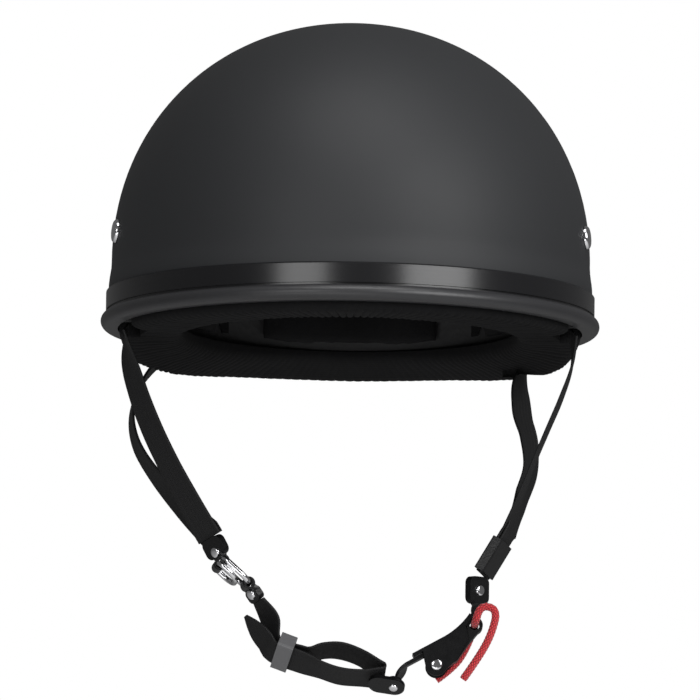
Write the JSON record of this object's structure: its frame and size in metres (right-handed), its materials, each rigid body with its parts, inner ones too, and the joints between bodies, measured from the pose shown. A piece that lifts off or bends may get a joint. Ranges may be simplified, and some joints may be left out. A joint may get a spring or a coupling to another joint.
{
  "type": "half shell motorcycle helmet",
  "caption": "Black half shell motorcycle helmet with its chin harness closed, chrome rivets and rings, and a red pull cord on the quick release buckle.",
  "frame": {"origin": "the middle of the head opening, in the plane of the rim's lower edge", "axes": "+Z to the crown, the face looks towards -Y, +X to the wearer's left"},
  "size_m": [0.244, 0.295, 0.328],
  "materials": {
    "shell_paint": "matte black",
    "trim_vinyl": "glossy black vinyl",
    "foam": "beaded foam",
    "lining": "ribbed black cloth",
    "webbing": "woven nylon",
    "tab_vinyl": "grained vinyl",
    "slider_plastic": "moulded",
    "black_plastic": "moulded",
    "red_cord": "braided",
    "chrome": "polished",
    "steel": "blackened steel"
  },
  "bodies": {
    "helmet": {"shell": "shell_paint", "edge_trim": "trim_vinyl", "impact_liner": "foam", "rim_roll": "lining", "brow_pad": "lining", "right_side_pad": "lining", "left_side_pad": "lining", "nape_pad": "lining", "crown_pad": "lining", "shell_rivets": "chrome", "rivet_washers": "steel", "strap_roots": "webbing"},
    "right_harness": {"right_front_strap": "webbing", "right_rear_strap": "webbing", "junction_tab": "tab_vinyl", "link_ring": "chrome", "link_tab": "tab_vinyl", "chin_web": "webbing", "tongue_tab": "tab_vinyl", "latch_tongue": "steel", "right_tab_rivets": "chrome"},
    "flip_ring": {"flip_ring": "chrome"},
    "slider": {"slider": "slider_plastic"},
    "left_harness": {"left_front_strap": "webbing", "left_rear_strap": "webbing", "buckle_tab": "tab_vinyl", "buckle_tab_rivet": "chrome", "buckle_frame": "steel", "lever_spring": "steel", "buckle_pin": "chrome"},
    "strap_keeper": {"strap_keeper": "tab_vinyl"},
    "release_lever": {"release_lever": "black_plastic", "pull_cord": "red_cord"}
  },
  "joints": [
    {"name": "right_harness_swing", "type": "hinge", "parent": "helmet", "child": "right_harness", "pos_m": [-0.10902, -0.02735, -0.0015], "axis": [0.1749, 0.9846, 0], "range_deg": [0, 50]},
    {"name": "left_harness_swing", "type": "hinge", "parent": "helmet", "child": "left_harness", "pos_m": [0.10902, -0.02735, -0.0015], "axis": [0.1749, -0.9846, 0], "range_deg": [0, 18.75]},
    {"name": "release_lever_turn", "type": "hinge", "parent": "left_harness", "child": "release_lever", "pos_m": [0.0445, 0.004, -0.1626], "axis": [0, 1, 0], "range_deg": [0, 18], "stiffness_Nm_per_rad": 0.05, "springref_deg": -17.19},
    {"name": "flip_ring_turn", "type": "hinge", "parent": "right_harness", "child": "flip_ring", "pos_m": [-0.06267, 0.00354, -0.11525], "axis": [-0.0931, 0.9903, -0.1034], "range_deg": [0, 75]},
    {"name": "slider_slide", "type": "slide", "parent": "right_harness", "child": "slider", "axis": [0.9397, 0, -0.342], "range_m": [0, 0.005]},
    {"name": "keeper_slide", "type": "slide", "parent": "left_harness", "child": "strap_keeper", "axis": [0.5075, 0, 0.8616], "range_m": [0, 0.005]}
  ],
  "couplings": [
    {"joint": "left_harness_swing", "follows": "right_harness_swing", "ratio": 0.375}
  ]
}
